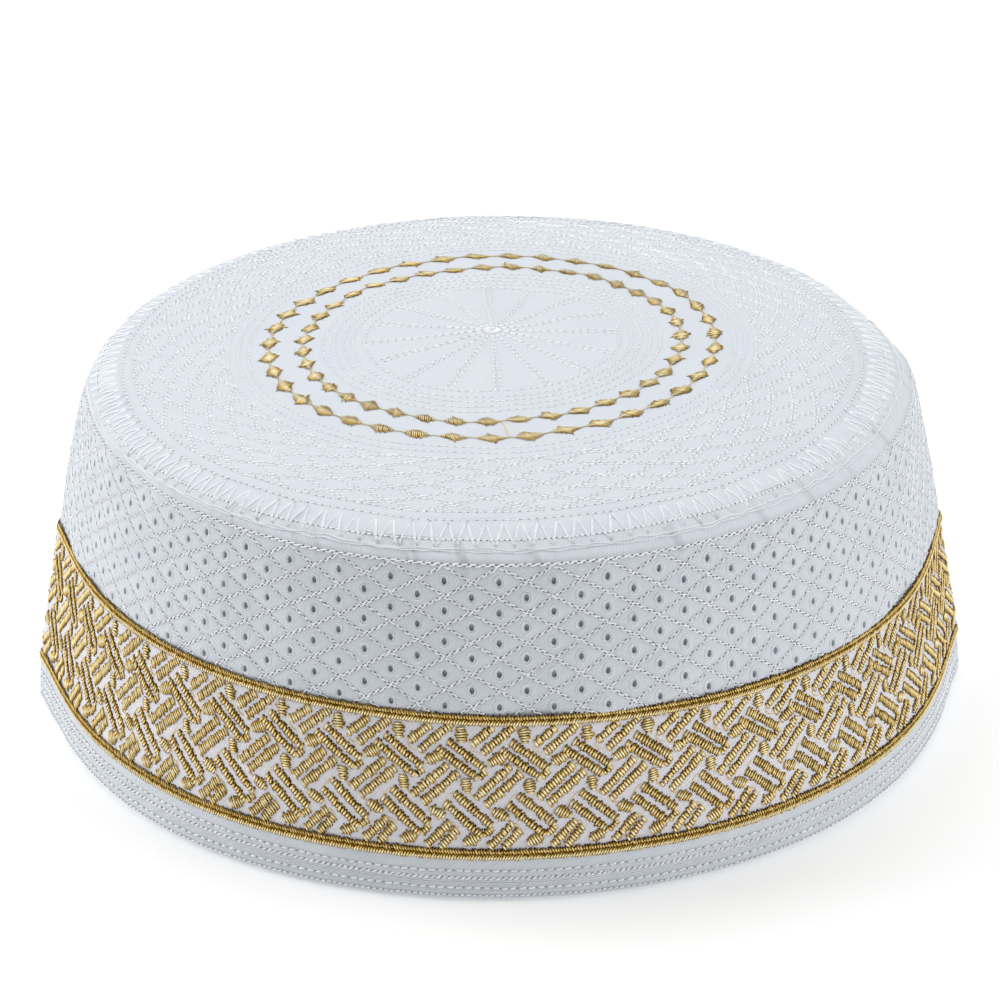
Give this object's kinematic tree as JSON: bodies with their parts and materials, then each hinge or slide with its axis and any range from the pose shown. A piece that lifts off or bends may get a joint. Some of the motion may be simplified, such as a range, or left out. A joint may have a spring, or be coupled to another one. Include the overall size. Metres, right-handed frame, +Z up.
{
  "type": "embroidered prayer cap",
  "caption": "Low round cotton prayer cap with a quilted crown, a pierced stitched wall and a band of gold basket embroidery, standing open on its rim.",
  "frame": {"origin": "middle of the rim, on the surface that the cap rests on", "axes": "+Z up to the crown, +X along the fold from crease to crease, -Y to the front"},
  "size_m": [0.1996, 0.1768, 0.0825],
  "materials": {
    "white_cotton": "matt white cotton with a fine twill",
    "band_cotton": "matt white cotton ground under gold embroidery",
    "white_thread": "satin white sewing thread",
    "gold_thread": "metallic gold embroidery thread"
  },
  "bodies": {
    "root": {"crown_top": "white_cotton", "seam_binding": "white_thread", "quilted_wall": "white_cotton", "upper_cord": "gold_thread", "embroidered_band": "band_cotton", "lower_cord": "gold_thread", "hem_band": "white_cotton", "diamond_ring_inner": "gold_thread", "diamond_ring_outer": "gold_thread"}
  },
  "joints": []
}
